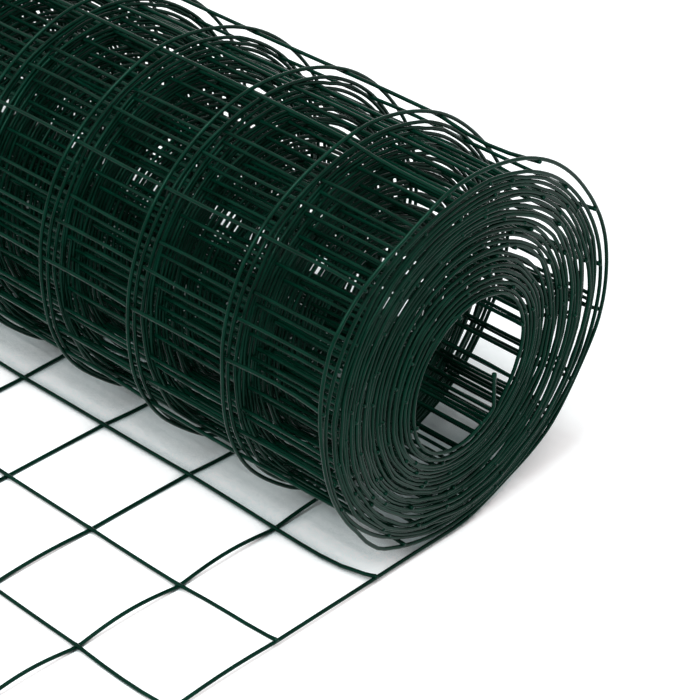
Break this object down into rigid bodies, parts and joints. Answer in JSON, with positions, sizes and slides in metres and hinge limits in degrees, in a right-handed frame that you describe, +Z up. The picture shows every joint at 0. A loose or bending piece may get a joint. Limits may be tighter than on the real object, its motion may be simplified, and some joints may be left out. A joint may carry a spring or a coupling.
{
  "type": "roll of welded wire fencing",
  "caption": "Roll of green plastic-coated welded wire fencing lying on its side, its loose outer turn running out into a flat open grid.",
  "frame": {"origin": "bottom centre of the whole on the floor: midway along the roll, and midway between the free end of the sheet and the far side of the loose outer turn", "axes": "+X along the roll's axis towards the end that faces the camera in the picture, -Y the way the free end is drawn out over the floor, +Z up"},
  "size_m": [0.9946, 0.5091, 0.2438],
  "materials": {
    "coated_wire": "satin dark-green plastic coat on steel wire"
  },
  "bodies": {
    "root": {"rolled_mesh": "coated_wire", "unrolled_mesh": "coated_wire"}
  },
  "joints": []
}
